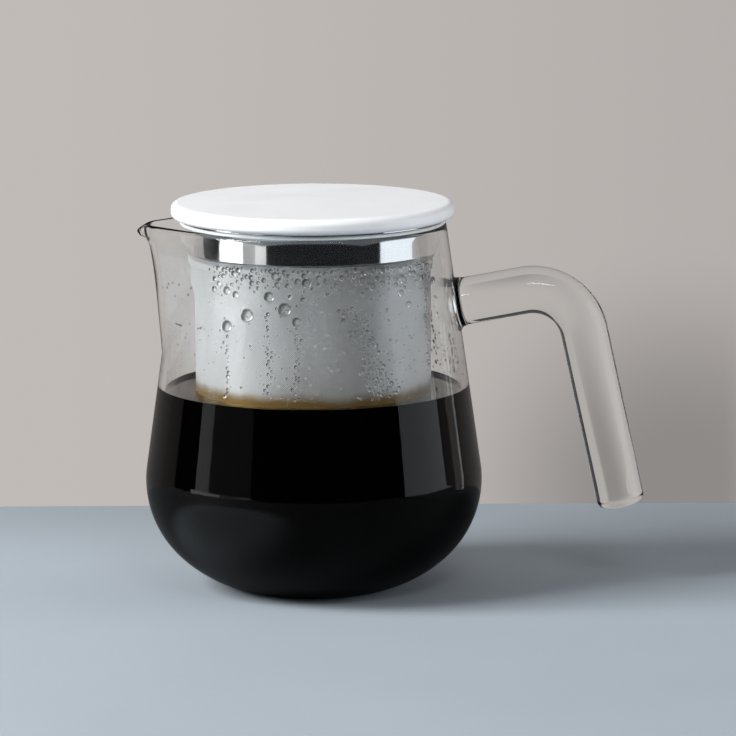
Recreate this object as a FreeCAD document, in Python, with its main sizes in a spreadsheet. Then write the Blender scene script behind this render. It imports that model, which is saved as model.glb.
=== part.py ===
import FreeCAD, Part
import math
import os
import Sketcher

# Cold brew coffee maker: glass jug with a glass rod handle, steel filter, flat white lid.
# Millimetres. The origin is the middle of the jug's foot, +Z up, handle to +X, spout to -X.

SIZES = {
    # glass jug, turned about Z
    "jug_height": 139.5,
    "belly_radius": 64.0,
    "belly_level": 41.3,
    "foot_radius": 28.5,
    "base_arc": 50.5,
    "side_arc": 39.5,
    "shoulder_arc": 36.0,
    "rim_radius": 50.7,
    "glass_wall": 2.8,
    "glass_floor": 3.6,
    # spout: six level sections, from the lowest to the rim
    "spout_drop_a": 52.0,
    "spout_drop_b": 34.0,
    "spout_drop_c": 19.0,
    "spout_drop_d": 9.0,
    "spout_drop_e": 4.0,
    "spout_out_a": -0.6,
    "spout_out_b": 3.4,
    "spout_out_c": 6.9,
    "spout_out_d": 9.8,
    "spout_out_e": 11.8,
    "spout_out_f": 12.8,
    "spout_nose_a": 30.0,
    "spout_nose_b": 21.0,
    "spout_nose_c": 15.0,
    "spout_nose_d": 13.6,
    "spout_nose_e": 13.6,
    "spout_nose_f": 13.9,
    # lip: a beak pulled out and down in the middle of the spout's rim, four level sections
    "lip_drop_a": 8.1,
    "lip_drop_b": 4.9,
    "lip_drop_c": 4.4,
    "lip_out_a": 11.2,
    "lip_out_b": 13.1,
    "lip_out_c": 15.3,
    "lip_out_d": 16.7,
    "lip_root_out": 10.0,
    "lip_root_width": 9.0,
    "lip_tip_width": 3.0,
    "lip_tip_length": 1.0,
    "lip_start": 11.0,
    "lip_fall": 0.51,
    "lip_cut_spare": 4.0,
    # handle: solid glass rod
    "rod_width": 18.0,
    "rod_bend": 20.0,
    "rod_rise": 10.0,
    "rod_lean": 12.2,
    "rod_root_level": 108.7,
    "rod_end_level": 30.2,
    "rod_end_out": 117.5,
    "rod_end_round": 3.0,
    "root_width": 24.0,
    "root_length": 4.0,
    # filter
    "neck_clearance": 0.9,
    "seal_thickness": 1.2,
    "rim_inset": 0.4,
    "flange_thickness": 1.1,
    "sheet": 0.8,
    "collar_depth": 9.5,
    "collar_step": 1.5,
    "collar_cone": 2.5,
    "collar_sleeve": 3.5,
    "screen_wall": 0.5,
    "screen_grip": 3.2,
    "filter_foot_level": 20.0,
    "base_ring_height": 6.0,
    "base_ring_lip": 6.0,
    "base_screen": 0.6,
    "seam_width": 5.0,
    "seam_thickness": 0.4,
    "seam_turn": 118.0,
    # lid
    "lid_radius": 53.6,
    "lid_thickness": 5.8,
    "lid_top_round": 2.6,
    "lid_under_round": 2.2,
    "plug_gap": 3.5,
    "plug_wall": 2.2,
    "plug_depth": 7.3,
    "gasket_height": 2.4,
    "gasket_drop": 2.6,
    "gasket_seat": 0.8,
    "gasket_clearance": 0.3,
}

doc = FreeCAD.newDocument("cold_brew_maker")
sheet = doc.addObject("Spreadsheet::Sheet", "Sizes")
for row, (alias, number) in enumerate(SIZES.items(), start=1):
    sheet.set(f"A{row}", alias)
    sheet.set(f"B{row}", str(number))
    sheet.setAlias(f"B{row}", alias)
doc.recompute()


class Dim:
    # a number together with the sheet expression that gives it

    def __init__(self, value, text):
        self.value = value
        self.text = text

    def __add__(self, other):
        other = as_dim(other)
        return Dim(self.value + other.value, f"({self.text} + {other.text})")

    def __sub__(self, other):
        other = as_dim(other)
        return Dim(self.value - other.value, f"({self.text} - {other.text})")

    def __mul__(self, other):
        other = as_dim(other)
        return Dim(self.value * other.value, f"({self.text} * {other.text})")

    def __truediv__(self, other):
        other = as_dim(other)
        return Dim(self.value / other.value, f"({self.text} / {other.text})")

    def __neg__(self):
        return Dim(-self.value, f"(0 - {self.text})")


def as_dim(item):
    return item if isinstance(item, Dim) else Dim(float(item), repr(float(item)))


def root(item):
    return Dim(math.sqrt(item.value), f"sqrt({item.text})")


S = {alias: Dim(number, f"Sizes.{alias}") for alias, number in SIZES.items()}
ZERO = as_dim(0)
H = S["jug_height"]
FULL_TURN = 360
CLOSE = 0.01  # how near an edge lies to the place that it is looked for


# helpers

def new_body(node):
    body = doc.addObject("PartDesign::Body", node)
    body.Label = node
    return body


def plane(body, role):
    return next(item for item in body.Origin.OriginFeatures if item.Role == role)


def new_sketch(body, name, role, lift=None):
    sketch = body.newObject("Sketcher::SketchObject", name)
    sketch.AttachmentSupport = [(plane(body, role), "")]
    sketch.MapMode = "FlatFace"
    if lift is not None:
        sketch.setExpression("AttachmentOffset.Base.z", lift.text)
    return sketch


def bind(sketch, constraint, dim):
    index = sketch.addConstraint(constraint)
    sketch.setExpression(f"Constraints[{index}]", dim.text)


def pin_point(sketch, edge, end, x, y):
    # holds one end of an edge at x, y from the sketch's origin
    if x is ZERO:
        sketch.addConstraint(Sketcher.Constraint("PointOnObject", edge, end, -2))
    else:
        bind(sketch, Sketcher.Constraint("DistanceX", -1, 1, edge, end, x.value), x)
    if y is ZERO:
        sketch.addConstraint(Sketcher.Constraint("PointOnObject", edge, end, -1))
    else:
        bind(sketch, Sketcher.Constraint("DistanceY", -1, 1, edge, end, y.value), y)


def point(x, y):
    return FreeCAD.Vector(x.value, y.value, 0)


def line(sketch, first, last, construction=False):
    return sketch.addGeometry(Part.LineSegment(first, last), construction)


def arc(sketch, centre, radius, start, end, construction=False):
    circle = Part.Circle(centre, FreeCAD.Vector(0, 0, 1), radius)
    return sketch.addGeometry(Part.ArcOfCircle(circle, start, end), construction)


def join(sketch, first, first_end, second, second_end):
    sketch.addConstraint(Sketcher.Constraint("Coincident", first, first_end, second, second_end))


def revolve(body, sketch, name, kind="PartDesign::Revolution"):
    feature = body.newObject(kind, name)
    feature.Profile = sketch
    feature.ReferenceAxis = (sketch, ["V_Axis"])
    feature.Angle = FULL_TURN
    return feature


def polygon(sketch, corners):
    count = len(corners)
    edges = [line(sketch, point(*corners[i]), point(*corners[(i + 1) % count])) for i in range(count)]
    for i, edge in enumerate(edges):
        join(sketch, edge, 2, edges[(i + 1) % count], 1)
        pin_point(sketch, edge, 1, *corners[i])
    return edges


def turned(node, corners):
    # a ring or disc: a closed outline of (radius, level) corners, turned about Z
    body = new_body(node)
    sketch = new_sketch(body, node + "_outline", "XZ_Plane")
    polygon(sketch, corners)
    revolve(body, sketch, node + "_turned")
    doc.recompute()
    return body


def circle_edges(shape, radius, level):
    # names of the full circles of one radius at one level
    found = []
    for number, edge in enumerate(shape.Edges, start=1):
        span = edge.BoundBox
        flat = span.ZLength < CLOSE and abs(span.ZMin - level.value) < CLOSE
        if flat and abs(span.XLength - 2 * radius.value) < CLOSE:
            found.append(f"Edge{number}")
    return found


def edges_about(shape, centre):
    # names of the edges whose own middle is at a point
    found = []
    for number, edge in enumerate(shape.Edges, start=1):
        if (edge.CenterOfMass - centre).Length < CLOSE:
            found.append(f"Edge{number}")
    return found


def fillet(body, base, name, edges, size):
    feature = body.newObject("PartDesign::Fillet", name)
    feature.Base = (base, edges)
    feature.Radius = size.value
    feature.setExpression("Radius", size.text)
    doc.recompute()
    return feature


# jug

def neck_slope():
    # rise over run of the straight neck, tangent to the shoulder arc and through the rim
    rise = H - S["belly_level"]
    arc_size = S["shoulder_arc"]
    side = S["belly_radius"] - S["rim_radius"] - arc_size
    square = rise * rise - arc_size * arc_size
    under = rise * rise * side * side - square * (side * side - arc_size * arc_size)
    return (rise * side + root(under)) / square


SLOPE = neck_slope()


def neck_radius(level):
    # outside radius of the straight neck at a level
    return S["rim_radius"] + (H - level) * SLOPE


def jug_outline(sketch, construction=False):
    # outside of the jug from the foot's edge to the rim, as three arcs and a line
    belly, level = S["belly_radius"], S["belly_level"]
    side, base, shoulder = S["side_arc"], S["base_arc"], S["shoulder_arc"]
    turn = math.atan(1)  # where base and side arcs meet; the solver works out the true angle
    side_centre = point(belly - side, level)
    reach = base.value - side.value
    base_centre = side_centre + FreeCAD.Vector(-reach * math.cos(turn), reach * math.sin(turn), 0)
    foot_turn = math.asin(min(1.0, base_centre.y / base.value))
    tilt = math.atan(SLOPE.value)
    shoulder_centre = point(belly - shoulder, level)
    neck_foot = shoulder_centre + FreeCAD.Vector(math.cos(tilt), math.sin(tilt), 0) * shoulder.value
    first = arc(sketch, base_centre, base.value, -foot_turn, -turn, construction)
    second = arc(sketch, side_centre, side.value, -turn, 0, construction)
    third = arc(sketch, shoulder_centre, shoulder.value, 0, tilt, construction)
    neck = line(sketch, neck_foot, point(S["rim_radius"], H), construction)
    sketch.addConstraint(Sketcher.Constraint("Tangent", first, 2, second, 1))
    join(sketch, second, 2, third, 1)
    sketch.addConstraint(Sketcher.Constraint("Tangent", third, 2, neck, 1))
    pin_point(sketch, second, 2, belly, level)
    pin_point(sketch, first, 1, S["foot_radius"], ZERO)
    pin_point(sketch, neck, 2, S["rim_radius"], H)
    for edge in (second, third):
        bind(sketch, Sketcher.Constraint("DistanceY", -1, 1, edge, 3, level.value), level)
    for edge, size in ((first, base), (second, side), (third, shoulder)):
        bind(sketch, Sketcher.Constraint("Radius", edge, size.value), size)
    return first, second, third, neck


def close_to_axis(sketch, low_edge, low_level, high_edge, high_level, low_radius, high_radius):
    # floor, axis and top lines that close an outline at the axis
    low = FreeCAD.Vector(0, low_level.value, 0)
    high = FreeCAD.Vector(0, high_level.value, 0)
    floor = line(sketch, low, low + FreeCAD.Vector(low_radius, 0, 0))
    top = line(sketch, high + FreeCAD.Vector(high_radius, 0, 0), high)
    axis = line(sketch, high, low)
    join(sketch, floor, 2, low_edge, 1)
    join(sketch, high_edge, 2, top, 1)
    join(sketch, top, 2, axis, 1)
    join(sketch, axis, 2, floor, 1)
    sketch.addConstraint(Sketcher.Constraint("Horizontal", floor))
    sketch.addConstraint(Sketcher.Constraint("Horizontal", top))
    sketch.addConstraint(Sketcher.Constraint("PointOnObject", axis, 1, -2))
    sketch.addConstraint(Sketcher.Constraint("PointOnObject", axis, 2, -2))


def solid_outline(sketch):
    edges = jug_outline(sketch)
    close_to_axis(sketch, edges[0], ZERO, edges[3], H, S["foot_radius"].value, S["rim_radius"].value)


def cavity_outline(sketch):
    # inside of the jug: the same arcs about the same centres, one wall smaller
    outside = jug_outline(sketch, True)
    wall, floor = S["glass_wall"], S["glass_floor"]
    inside = []
    for edge, size in zip(outside[:3], ("base_arc", "side_arc", "shoulder_arc")):
        shape = sketch.Geometry[edge]
        smaller = S[size] - wall
        start = shape.FirstParameter
        if not inside:
            start = -math.asin((shape.Center.y - floor.value) / smaller.value)
        inner = arc(sketch, shape.Center, smaller.value, start, shape.LastParameter)
        join(sketch, inner, 3, edge, 3)
        inside.append(inner)
    tilt = math.atan(SLOPE.value)
    shift = FreeCAD.Vector(-math.cos(tilt), -math.sin(tilt), 0) * wall.value
    foot = sketch.Geometry[outside[3]].StartPoint + shift
    top = FreeCAD.Vector(S["rim_radius"].value - wall.value / math.cos(tilt), H.value, 0)
    neck = line(sketch, foot, top)
    sketch.addConstraint(Sketcher.Constraint("Tangent", inside[0], 2, inside[1], 1))
    join(sketch, inside[1], 2, inside[2], 1)
    sketch.addConstraint(Sketcher.Constraint("Horizontal", inside[1], 2, inside[1], 3))
    sketch.addConstraint(Sketcher.Constraint("Tangent", inside[2], 2, neck, 1))
    sketch.addConstraint(Sketcher.Constraint("Parallel", neck, outside[3]))
    side = S["side_arc"] - wall
    bind(sketch, Sketcher.Constraint("Radius", inside[1], side.value), side)
    bind(sketch, Sketcher.Constraint("DistanceY", -1, 1, inside[0], 1, floor.value), floor)
    bind(sketch, Sketcher.Constraint("DistanceY", -1, 1, neck, 2, H.value), H)
    low = sketch.Geometry[inside[0]].StartPoint.x
    close_to_axis(sketch, inside[0], floor, neck, H, low, top.x)


def spout_section(body, name, letter, inset):
    # a level section: round nose, and flanks tangent to a circle in the middle of the wall
    drop = S["spout_drop_" + letter] if letter != "f" else ZERO
    level = H - drop
    reach = neck_radius(level) + S["spout_out_" + letter] - inset
    nose = S["spout_nose_" + letter] - inset
    middle = neck_radius(level) - S["glass_wall"] / 2 - inset
    centre = reach - nose
    across = (middle - nose) / centre
    aside = root(as_dim(1) - across * across)
    sketch = new_sketch(body, name, "XY_Plane", level)
    tip_high = (-(centre + nose * across), nose * aside)
    tip_low = (tip_high[0], -tip_high[1])
    root_high = (-(middle * across), middle * aside)
    root_low = (root_high[0], -root_high[1])
    turn = math.atan2(aside.value, across.value)
    tip = arc(sketch, point(-centre, ZERO), nose.value, math.pi - turn, math.pi + turn)
    low = line(sketch, point(*tip_low), point(*root_low))
    chord = line(sketch, point(*root_low), point(*root_high))
    high = line(sketch, point(*root_high), point(*tip_high))
    join(sketch, tip, 2, low, 1)
    join(sketch, low, 2, chord, 1)
    join(sketch, chord, 2, high, 1)
    join(sketch, high, 2, tip, 1)
    pin_point(sketch, low, 1, *tip_low)
    pin_point(sketch, chord, 1, *root_low)
    pin_point(sketch, high, 1, *root_high)
    pin_point(sketch, high, 2, *tip_high)
    bind(sketch, Sketcher.Constraint("Radius", tip, nose.value), nose)
    return sketch


def loft(body, name, kind, sections):
    feature = body.newObject(kind, name)
    feature.Profile = sections[0]
    feature.Sections = sections[1:]
    feature.Ruled = True
    feature.Closed = False
    return feature


def lip_section(body, letter):
    # a level section of the beak: broad where it leaves the wall, narrow and blunt at its tip
    drop = S["lip_drop_" + letter] if letter != "d" else ZERO
    base = S["rim_radius"] + S["lip_root_out"]
    tip = S["rim_radius"] + S["lip_out_" + letter]
    broad, narrow = S["lip_root_width"] / 2, S["lip_tip_width"] / 2
    shoulder = tip - (tip - base) * S["lip_tip_length"] / (S["lip_out_d"] - S["lip_root_out"])
    sketch = new_sketch(body, "lip_section_" + letter, "XY_Plane", H - drop)
    polygon(sketch, [(-base, broad), (-shoulder, narrow), (-tip, narrow / 2),
                     (-tip, -narrow / 2), (-shoulder, -narrow), (-base, -broad)])
    return sketch


def make_jug():
    body = new_body("jug_glass")
    outline = new_sketch(body, "jug_outside", "XZ_Plane")
    solid_outline(outline)
    revolve(body, outline, "jug_blank")
    letters = "abcdef"
    outside = [spout_section(body, "spout_outside_" + key, key, ZERO) for key in letters]
    loft(body, "spout_blank", "PartDesign::AdditiveLoft", outside)
    cavity = new_sketch(body, "jug_inside", "XZ_Plane")
    cavity_outline(cavity)
    revolve(body, cavity, "jug_cavity", "PartDesign::Groove")
    inside = [spout_section(body, "spout_inside_" + key, key, S["glass_wall"]) for key in letters]
    loft(body, "spout_cavity", "PartDesign::SubtractiveLoft", inside)
    loft(body, "lip_beak", "PartDesign::AdditiveLoft", [lip_section(body, key) for key in "abcd"])
    slope = new_sketch(body, "lip_slope", "XZ_Plane")
    start = S["rim_radius"] + S["lip_start"]
    far = S["rim_radius"] + S["lip_out_d"] + S["lip_cut_spare"]
    above = H + S["lip_cut_spare"]
    polygon(slope, [(-start, H), (-far, H - (far - start) * S["lip_fall"]), (-far, above), (-start, above)])
    cut = body.newObject("PartDesign::Pocket", "lip_cut")
    cut.Profile = slope
    cut.Type = "ThroughAll"
    cut.Midplane = True
    doc.recompute()
    return body


# handle

def make_handle():
    body = new_body("handle_rod")
    level = S["rod_root_level"]
    start_out = neck_radius(level) - S["glass_wall"]
    rise, lean = math.radians(S["rod_rise"].value), math.radians(S["rod_lean"].value)
    bend = S["rod_bend"]
    path = new_sketch(body, "rod_path", "XZ_Plane")
    end = point(S["rod_end_out"], S["rod_end_level"])
    start = point(start_out, level)
    arm_out = FreeCAD.Vector(math.cos(rise), math.sin(rise), 0)
    leg_up = FreeCAD.Vector(-math.sin(lean), math.cos(lean), 0)
    # the corner where arm and leg would meet seeds the tangent bend
    gap = end - start
    cross = arm_out.x * leg_up.y - arm_out.y * leg_up.x
    along = (gap.x * leg_up.y - gap.y * leg_up.x) / cross
    corner = start + arm_out * along
    trim = bend.value * math.tan((math.pi / 2 + rise - lean) / 2)
    arm_end = corner - arm_out * trim
    leg_top = corner - leg_up * trim
    centre = arm_end + FreeCAD.Vector(arm_out.y, -arm_out.x, 0) * bend.value
    arm = line(path, start, arm_end)
    curve = arc(path, centre, bend.value, lean, math.pi / 2 + rise)
    leg = line(path, leg_top, end)
    path.addConstraint(Sketcher.Constraint("Tangent", arm, 2, curve, 2))
    path.addConstraint(Sketcher.Constraint("Tangent", curve, 1, leg, 1))
    bind(path, Sketcher.Constraint("Radius", curve, bend.value), bend)
    pin_point(path, arm, 1, start_out, level)
    pin_point(path, leg, 2, S["rod_end_out"], S["rod_end_level"])
    turned_by = path.addConstraint(Sketcher.Constraint("Angle", -1, 1, arm, 1, rise))
    path.setExpression(f"Constraints[{turned_by}]", S["rod_rise"].text + " * 1deg")
    doc.recompute()

    profile = body.newObject("Sketcher::SketchObject", "rod_section")
    profile.AttachmentSupport = [(path, "Edge1")]
    profile.MapMode = "NormalToEdge"
    profile.MapPathParameter = 0
    width = S["rod_width"] / 2
    ring = profile.addGeometry(Part.Circle(FreeCAD.Vector(), FreeCAD.Vector(0, 0, 1), width.value))
    join(profile, ring, 3, -1, 1)
    bind(profile, Sketcher.Constraint("Radius", ring, width.value), width)
    rod = body.newObject("PartDesign::AdditivePipe", "rod_bent")
    rod.Profile = profile
    rod.Spine = (path, ["Edge1", "Edge2", "Edge3"])
    doc.recompute()

    flare = body.newObject("PartDesign::AdditiveCone", "root_flare")
    flare.AttachmentSupport = [(path, "Edge1")]
    flare.MapMode = "NormalToEdge"
    flare.MapPathParameter = 0
    outwards = FreeCAD.Rotation(FreeCAD.Vector(1, 0, 0), FULL_TURN / 2)
    flare.AttachmentOffset = FreeCAD.Placement(FreeCAD.Vector(), outwards)
    flare.setExpression("Radius1", (S["root_width"] / 2).text)
    flare.setExpression("Radius2", width.text)
    flare.setExpression("Height", (S["root_length"] + S["glass_wall"]).text)
    doc.recompute()

    trimmed = new_sketch(body, "neck_outside", "XZ_Plane")
    solid_outline(trimmed)
    groove = revolve(body, trimmed, "root_trim", "PartDesign::Groove")
    doc.recompute()
    rod_end = FreeCAD.Vector(S["rod_end_out"].value, 0, S["rod_end_level"].value)
    fillet(body, groove, "rod_end_edge", edges_about(body.Shape, rod_end), S["rod_end_round"])
    return body


# filter

SEAL_TOP = H + S["seal_thickness"]
FLANGE_TOP = SEAL_TOP + S["flange_thickness"]
COLLAR_OUT = S["rim_radius"] - S["glass_wall"] - S["neck_clearance"]
COLLAR_IN = COLLAR_OUT - S["sheet"]
SLEEVE_OUT = COLLAR_OUT - S["collar_step"]
SCREEN_OUT = SLEEVE_OUT - S["sheet"]
SCREEN_IN = SCREEN_OUT - S["screen_wall"]
RIM_OUT = S["rim_radius"] - S["rim_inset"]
CONE_TOP = H - S["collar_depth"]
SLEEVE_TOP = CONE_TOP - S["collar_cone"]
SLEEVE_END = SLEEVE_TOP - S["collar_sleeve"]
SCREEN_TOP = SLEEVE_END + S["screen_grip"]
FOOT = S["filter_foot_level"]
RING_FLOOR = FOOT + S["sheet"]
RING_TOP = FOOT + S["base_ring_height"]


def ring(node, inner, outer, low, high):
    return turned(node, [(inner, low), (outer, low), (outer, high), (inner, high)])


def make_filter():
    seal = ring("neck_seal", COLLAR_OUT, RIM_OUT, H, SEAL_TOP)
    flange = ring("filter_flange", COLLAR_IN, RIM_OUT, SEAL_TOP, FLANGE_TOP)
    collar = turned("filter_collar", [
        (COLLAR_IN, SEAL_TOP), (COLLAR_OUT, SEAL_TOP), (COLLAR_OUT, CONE_TOP), (SLEEVE_OUT, SLEEVE_TOP),
        (SLEEVE_OUT, SLEEVE_END), (SCREEN_OUT, SLEEVE_END), (SCREEN_OUT, SLEEVE_TOP), (COLLAR_IN, CONE_TOP)])
    screen = ring("screen_tube", SCREEN_IN, SCREEN_OUT, RING_FLOOR, SCREEN_TOP)
    cup = turned("base_ring", [
        (SCREEN_OUT - S["base_ring_lip"], FOOT), (SLEEVE_OUT, FOOT), (SLEEVE_OUT, RING_TOP),
        (SCREEN_OUT, RING_TOP), (SCREEN_OUT, RING_FLOOR), (SCREEN_OUT - S["base_ring_lip"], RING_FLOOR)])
    plate = turned("base_screen", [
        (ZERO, RING_FLOOR), (SCREEN_IN, RING_FLOOR), (SCREEN_IN, RING_FLOOR + S["base_screen"]),
        (ZERO, RING_FLOOR + S["base_screen"])])
    return [seal, flange, collar, screen, make_seam(), cup, plate]


def make_seam():
    # lap strip along the screen, from the base ring to the collar's sleeve
    body = new_body("screen_seam")
    sketch = new_sketch(body, "seam_section", "XY_Plane", RING_TOP)
    outer = SCREEN_OUT + S["seam_thickness"]
    half = S["seam_width"] / 2
    near = (root(SCREEN_OUT * SCREEN_OUT - half * half), half)
    far = (root(outer * outer - half * half), half)
    spread_near = math.atan2(near[1].value, near[0].value)
    spread_far = math.atan2(far[1].value, far[0].value)
    inside = arc(sketch, FreeCAD.Vector(), SCREEN_OUT.value, -spread_near, spread_near)
    outside = arc(sketch, FreeCAD.Vector(), outer.value, -spread_far, spread_far)
    low = line(sketch, point(near[0], -near[1]), point(far[0], -far[1]))
    high = line(sketch, point(*near), point(*far))
    join(sketch, inside, 1, low, 1)
    join(sketch, low, 2, outside, 1)
    join(sketch, inside, 2, high, 1)
    join(sketch, high, 2, outside, 2)
    join(sketch, inside, 3, -1, 1)
    join(sketch, outside, 3, -1, 1)
    bind(sketch, Sketcher.Constraint("Radius", inside, SCREEN_OUT.value), SCREEN_OUT)
    bind(sketch, Sketcher.Constraint("Radius", outside, outer.value), outer)
    for edge, sign in ((low, -1), (high, 1)):
        for end in (1, 2):
            size = half if sign > 0 else -half
            bind(sketch, Sketcher.Constraint("DistanceY", -1, 1, edge, end, size.value), size)
    strip = body.newObject("PartDesign::Pad", "seam_strip")
    strip.Profile = sketch
    height = SLEEVE_END - RING_TOP
    strip.Length = height.value
    strip.setExpression("Length", height.text)
    about_axis = FreeCAD.Rotation(FreeCAD.Vector(0, 0, 1), S["seam_turn"].value)
    body.Placement = FreeCAD.Placement(FreeCAD.Vector(), about_axis)
    body.setExpression("Placement.Rotation.Angle", S["seam_turn"].text + " * 1deg")
    doc.recompute()
    return body


# lid

PLUG_OUT = COLLAR_IN - S["plug_gap"]
PLUG_IN = PLUG_OUT - S["plug_wall"]
PLUG_END = FLANGE_TOP - S["plug_depth"]
GROOVE_TOP = FLANGE_TOP - S["gasket_drop"]
GROOVE_END = GROOVE_TOP - S["gasket_height"]
GROOVE_IN = PLUG_OUT - S["gasket_seat"]


def make_lid():
    top = FLANGE_TOP + S["lid_thickness"]
    edge = S["lid_radius"]
    cap = turned("lid_cap", [(ZERO, FLANGE_TOP), (edge, FLANGE_TOP), (edge, top), (ZERO, top)])
    upper = fillet(cap, cap.Tip, "lid_top_edge", circle_edges(cap.Shape, edge, top), S["lid_top_round"])
    fillet(cap, upper, "lid_under_edge", circle_edges(cap.Shape, edge, FLANGE_TOP), S["lid_under_round"])
    plug = turned("lid_plug", [
        (PLUG_IN, PLUG_END), (PLUG_OUT, PLUG_END), (PLUG_OUT, GROOVE_END), (GROOVE_IN, GROOVE_END),
        (GROOVE_IN, GROOVE_TOP), (PLUG_OUT, GROOVE_TOP), (PLUG_OUT, FLANGE_TOP), (PLUG_IN, FLANGE_TOP)])
    gasket = ring("lid_gasket", GROOVE_IN, COLLAR_IN - S["gasket_clearance"], GROOVE_END, GROOVE_TOP)
    return [cap, plug, gasket]


# all pieces

pieces = [make_jug(), make_handle()] + make_filter() + make_lid()
doc.recompute()

for item in doc.Objects:
    if "Invalid" in item.State or "Error" in item.State:
        raise RuntimeError(f"{item.Name} did not recompute: {item.State}")

os.makedirs("parts", exist_ok=True)
for body in pieces:
    shape = body.Shape
    if shape.isNull() or not shape.isValid() or len(shape.Solids) != 1:
        raise RuntimeError(f"{body.Label} is not one sound solid")
    shape.exportStep(f"parts/{body.Label}.step")
    box = shape.BoundBox
    print(f"{body.Label}: {shape.Volume / 1000:.2f} cm3, x {box.XMin:.2f}..{box.XMax:.2f}, "
          f"y {box.YMin:.2f}..{box.YMax:.2f}, z {box.ZMin:.2f}..{box.ZMax:.2f}")
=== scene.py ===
import random
from math import acos, asin, atan2, copysign, cos, exp, hypot, pi, radians, sin, sqrt, tan

import bmesh
import bpy
from mathutils import Matrix, Vector


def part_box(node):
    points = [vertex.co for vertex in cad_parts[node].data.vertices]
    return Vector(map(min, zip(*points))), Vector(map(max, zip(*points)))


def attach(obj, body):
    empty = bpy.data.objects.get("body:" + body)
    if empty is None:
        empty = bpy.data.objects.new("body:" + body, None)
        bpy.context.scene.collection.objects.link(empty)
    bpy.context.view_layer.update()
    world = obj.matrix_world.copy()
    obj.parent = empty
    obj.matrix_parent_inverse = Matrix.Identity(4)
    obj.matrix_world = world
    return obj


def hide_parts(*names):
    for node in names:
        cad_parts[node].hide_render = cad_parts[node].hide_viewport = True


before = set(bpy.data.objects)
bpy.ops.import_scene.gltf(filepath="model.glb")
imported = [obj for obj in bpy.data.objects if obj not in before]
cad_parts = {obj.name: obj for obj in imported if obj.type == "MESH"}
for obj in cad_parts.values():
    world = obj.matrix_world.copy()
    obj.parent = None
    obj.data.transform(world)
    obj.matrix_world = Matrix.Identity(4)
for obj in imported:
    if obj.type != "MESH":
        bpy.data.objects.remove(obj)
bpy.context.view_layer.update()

# Cold brew coffee maker: blown glass jug with a glass rod handle, steel filter, white lid.
# Metres, in the frame of the solids: +Z up the jug's axis, handle to +X, spout to -X.

mm = 0.001
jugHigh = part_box("jug_glass")[1]
lidLow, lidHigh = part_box("lid_cap")
plugLow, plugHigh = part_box("lid_plug")
gasketLow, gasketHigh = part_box("lid_gasket")
sealLow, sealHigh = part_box("neck_seal")
flangeLow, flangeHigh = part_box("filter_flange")
collarLow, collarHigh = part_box("filter_collar")
screenLow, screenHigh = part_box("screen_tube")
ringLow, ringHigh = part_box("base_ring")


# small tools

def deselectAll():
    bpy.ops.object.select_all(action="DESELECT")


def makeActive(piece):
    deselectAll()
    piece.select_set(True)
    bpy.context.view_layer.objects.active = piece


def selectMesh():
    bpy.ops.mesh.select_all(action="SELECT")


def linkPiece(name, data):
    piece = bpy.data.objects.new(name, data)
    bpy.context.scene.collection.objects.link(piece)
    return piece


def smooth(low, high, value):
    share = min(1.0, max(0.0, (value - low) / (high - low)))
    return share * share * (3 - 2 * share)


def straight(first, last, count):
    # the points of a straight line after its first one
    return [(first[0] + (last[0] - first[0]) * step / count, first[1] + (last[1] - first[1]) * step / count)
            for step in range(1, count + 1)]


def arcPoints(centre, radius, start, end, count):
    # an arc in the radius-height plane in count steps, its first point included, angles in radians
    turns = [start + (end - start) * step / count for step in range(count + 1)]
    return [(centre[0] + radius * cos(turn), centre[1] + radius * sin(turn)) for turn in turns]


def roundedCorners(corners, count=6):
    # corners are (radius, height, rounding): each rounding becomes an arc tangent to both sides
    points = []
    for before, (x, y, size), after in zip(corners[-1:] + corners, corners, corners[1:] + corners[:1]):
        if size == 0:
            points.append((x, y))
            continue
        here = Vector((x, y))
        toBefore = (Vector(before[:2]) - here).normalized()
        toAfter = (Vector(after[:2]) - here).normalized()
        half = toBefore.angle(toAfter) / 2
        reach = size / tan(half)
        centre = here + (toBefore + toAfter).normalized() * (size / sin(half))
        first = here + toBefore * reach - centre
        last = here + toAfter * reach - centre
        start = atan2(first.y, first.x)
        sweep = atan2(first.x * last.y - first.y * last.x, first.dot(last))
        points += arcPoints(centre, size, start, start + sweep, count)
    return points


def holdEdges(points, closed, reach=0.25 * mm):
    # straight runs over 12 reaches get a point near each end, so that smooth shading stays flat along them
    held = []
    path = points + points[:1] if closed else points
    for first, last in zip(path, path[1:]):
        held.append(first)
        start, end = Vector(first), Vector(last)
        if (end - start).length > 12 * reach:
            way = (end - start).normalized() * reach
            held += [tuple(start + way), tuple(end - way)]
    return held if closed else held + [points[-1]]


def drawOutline(name, points, closed):
    # a single point is added and extruded from one place to the next
    deselectAll()
    first = Vector((points[0][0], 0, points[0][1]))
    bpy.ops.mesh.primitive_plane_add(size=mm, location=first)
    piece = bpy.context.object
    piece.name = name
    piece.data.name = name
    bpy.ops.object.transform_apply(location=True, rotation=True, scale=True)
    bpy.ops.object.mode_set(mode="EDIT")
    bpy.ops.mesh.select_mode(type="VERT")
    selectMesh()
    bpy.ops.mesh.merge(type="CENTER")
    path = points + points[:1] if closed else points
    for before, after in zip(path, path[1:]):
        step = (after[0] - before[0], 0, after[1] - before[1])
        bpy.ops.mesh.extrude_region_move(TRANSFORM_OT_translate={"value": step})
    return piece


def closeMesh(threshold=0.005 * mm):
    # ends the work in edit mode: doubles are merged and faces turned outwards
    selectMesh()
    bpy.ops.mesh.remove_doubles(threshold=threshold)
    bpy.ops.mesh.normals_make_consistent(inside=False)
    bpy.ops.object.mode_set(mode="OBJECT")


def smoothShade(piece, degrees):
    makeActive(piece)
    bpy.ops.object.shade_smooth_by_angle(angle=radians(degrees))
    return piece


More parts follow.
